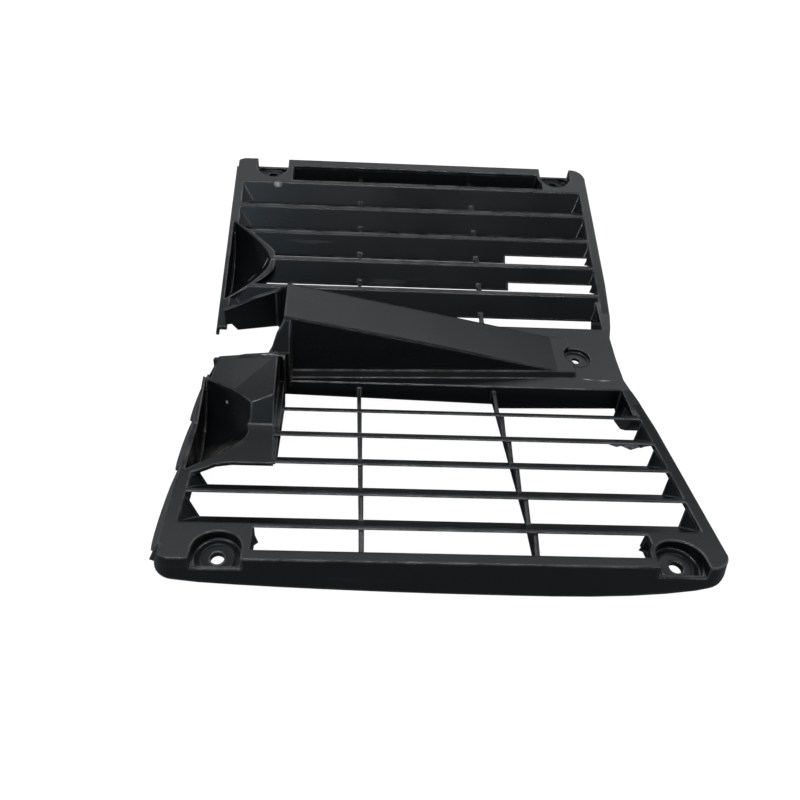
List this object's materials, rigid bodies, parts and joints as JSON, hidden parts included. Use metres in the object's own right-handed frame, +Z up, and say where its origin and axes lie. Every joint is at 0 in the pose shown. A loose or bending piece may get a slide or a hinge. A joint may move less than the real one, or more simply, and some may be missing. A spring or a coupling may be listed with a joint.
{
  "type": "radiator guard",
  "caption": "Moulded motorcycle radiator guard: louvred panels on both sides of a solid bridge with a sloping hood, with screw pockets at the corners.",
  "frame": {"origin": "middle of the bounding box, at the plane it rests on", "axes": "+X along the louvres towards the end with the middle screw hole, +Y across the louvres towards the panel with no block, +Z up out of the front face"},
  "size_m": [0.3038, 0.4062, 0.0694],
  "materials": {
    "moulding": "satin-gloss near-black, lightly scratched"
  },
  "bodies": {
    "root": {"radiator_guard": "moulding"}
  },
  "joints": []
}
